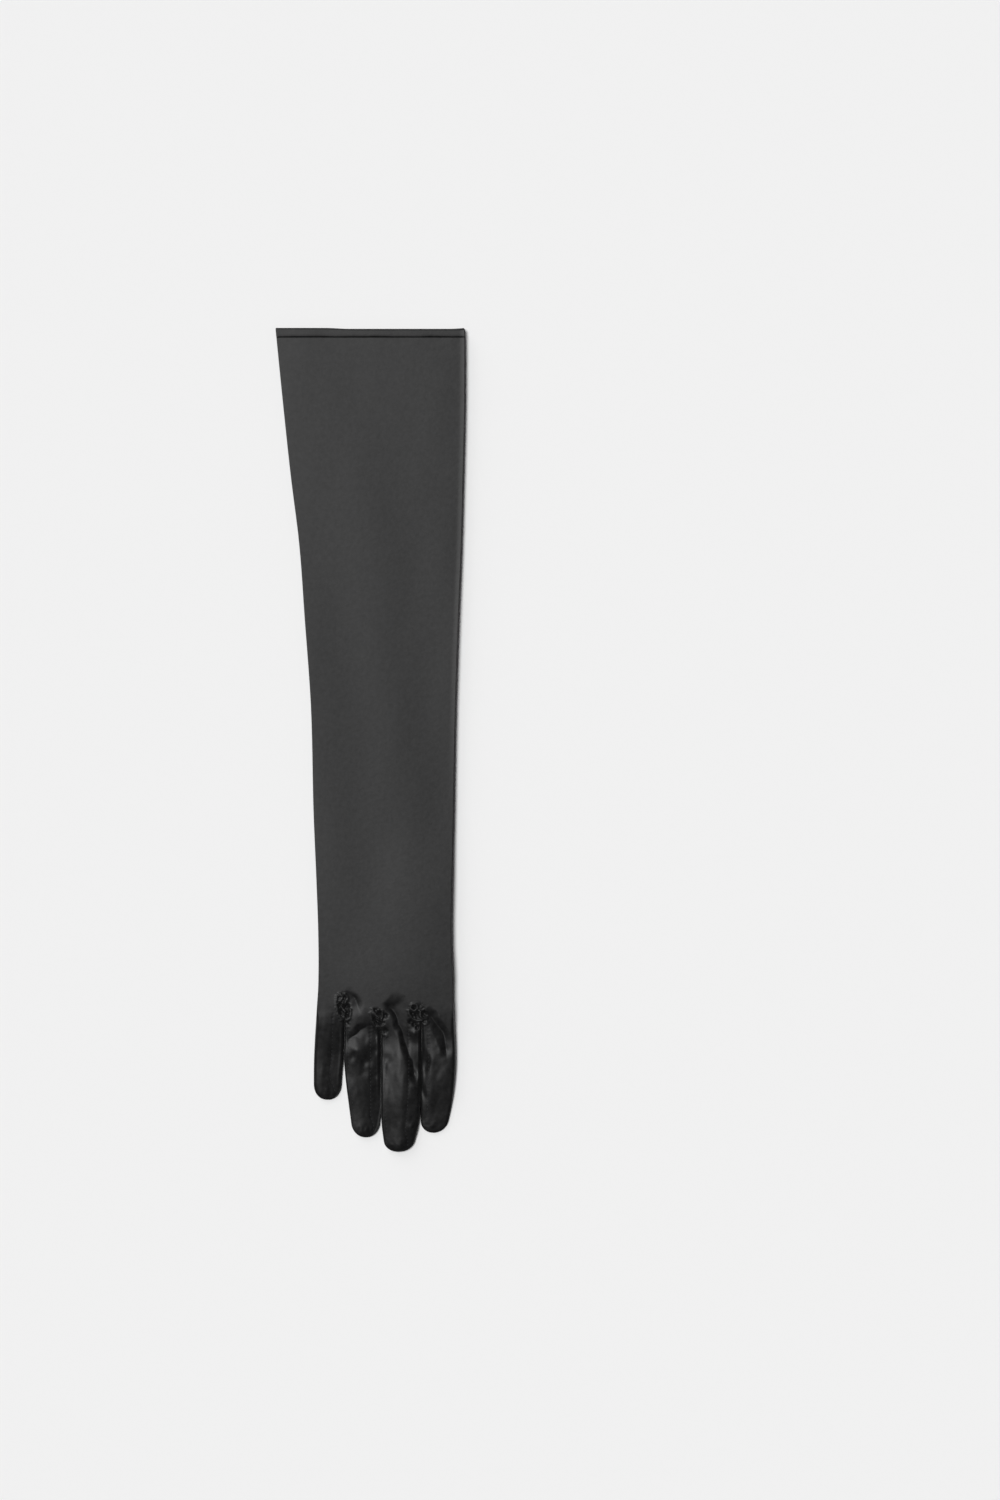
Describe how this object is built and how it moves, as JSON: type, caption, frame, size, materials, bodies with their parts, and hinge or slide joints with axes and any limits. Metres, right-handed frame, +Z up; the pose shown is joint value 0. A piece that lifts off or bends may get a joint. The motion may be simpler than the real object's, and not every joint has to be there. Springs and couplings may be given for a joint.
{
  "type": "long satin glove",
  "caption": "Elbow-length satin dress glove for the right hand, lying empty and flat, with fourchettes between the fingers, a set-in thumb and a hemmed cuff.",
  "frame": {"origin": "on the surface that the glove lies on, under the middle of its box", "axes": "+Y up the arm to the open cuff, +X to the index-finger side, +Z up out of the back of the hand"},
  "size_m": [0.122, 0.53, 0.0111],
  "materials": {
    "satin": "charcoal stretch satin, soft sheen"
  },
  "bodies": {
    "root": {"trank": "satin", "hem_band": "satin", "thumb": "satin", "fourchette_little_ring": "satin", "fourchette_ring_middle": "satin", "fourchette_middle_index": "satin"}
  },
  "joints": []
}
